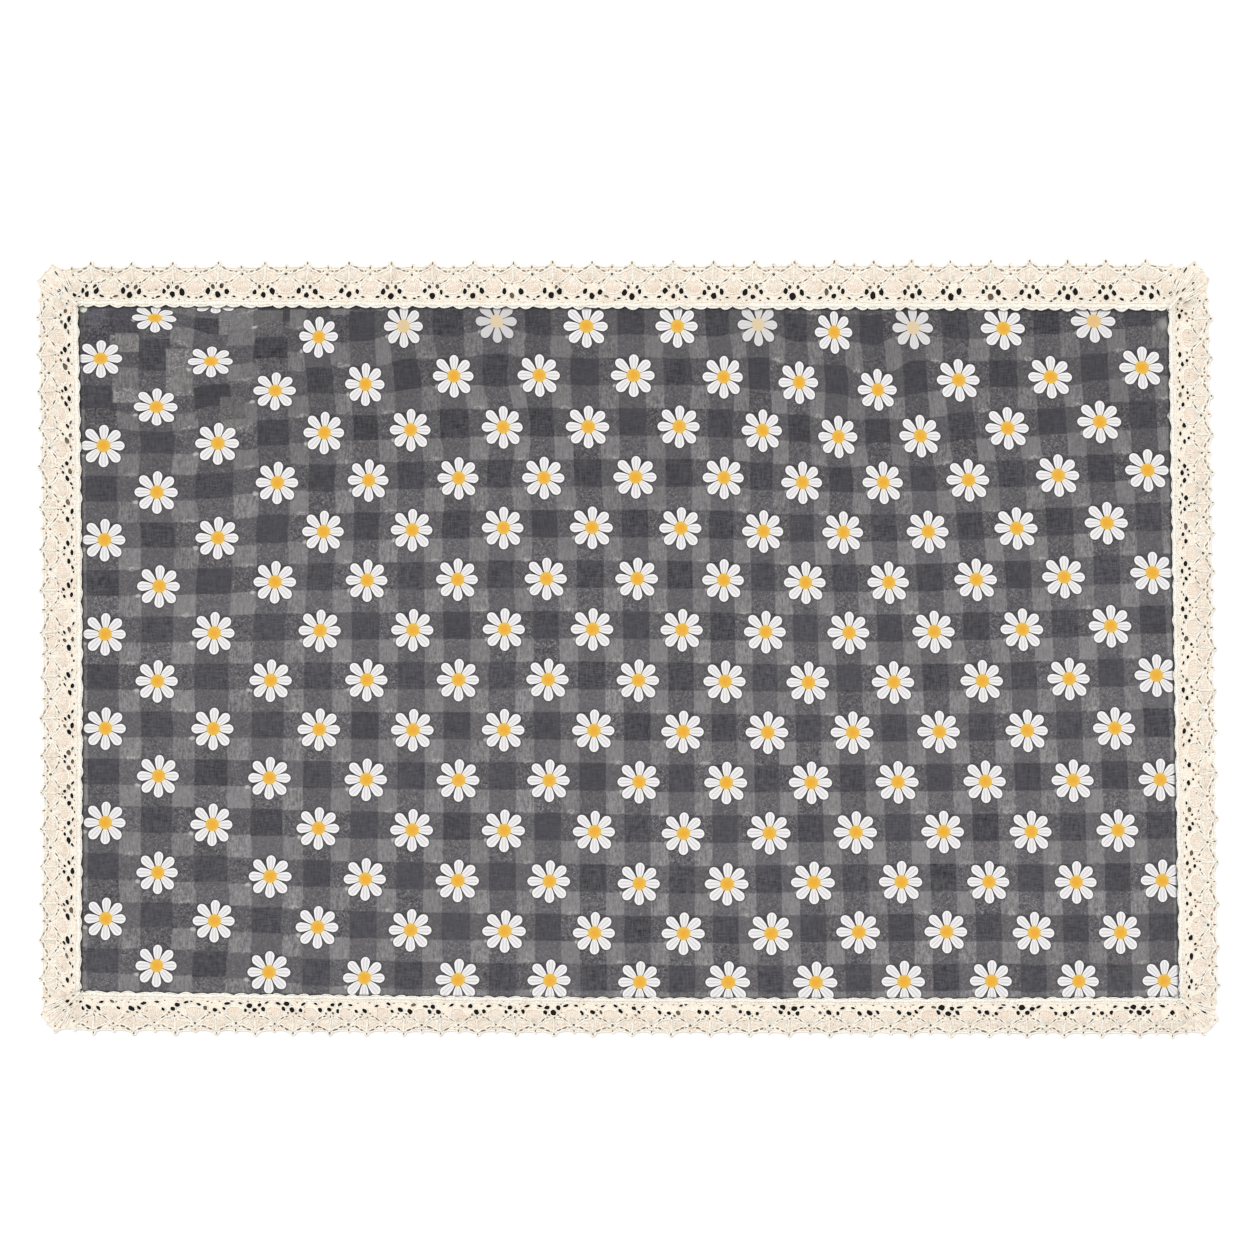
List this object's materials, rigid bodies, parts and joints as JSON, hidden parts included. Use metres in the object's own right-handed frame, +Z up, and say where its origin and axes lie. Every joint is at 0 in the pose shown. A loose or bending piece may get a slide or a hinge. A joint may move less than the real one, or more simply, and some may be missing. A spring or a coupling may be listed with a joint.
{
  "type": "lace edged tablecloth",
  "caption": "Rectangular cloth lying flat: a dark check panel printed with small daisies, edged all round with wide cream lace. Covers and protects a small table.",
  "frame": {"origin": "middle of the outline, on the underside that rests on the table", "axes": "+X along the long sides, +Y towards the back edge, +Z up out of the printed face"},
  "size_m": [1.402, 0.921, 0.0033],
  "materials": {
    "check_cloth": "matt cotton and linen weave, charcoal gingham with printed daisies",
    "lace_cotton": "matt undyed cotton yarn, openwork lace"
  },
  "bodies": {
    "root": {"panel": "check_cloth", "lace_front": "lace_cotton", "lace_right": "lace_cotton", "lace_back": "lace_cotton", "lace_left": "lace_cotton"}
  },
  "joints": []
}
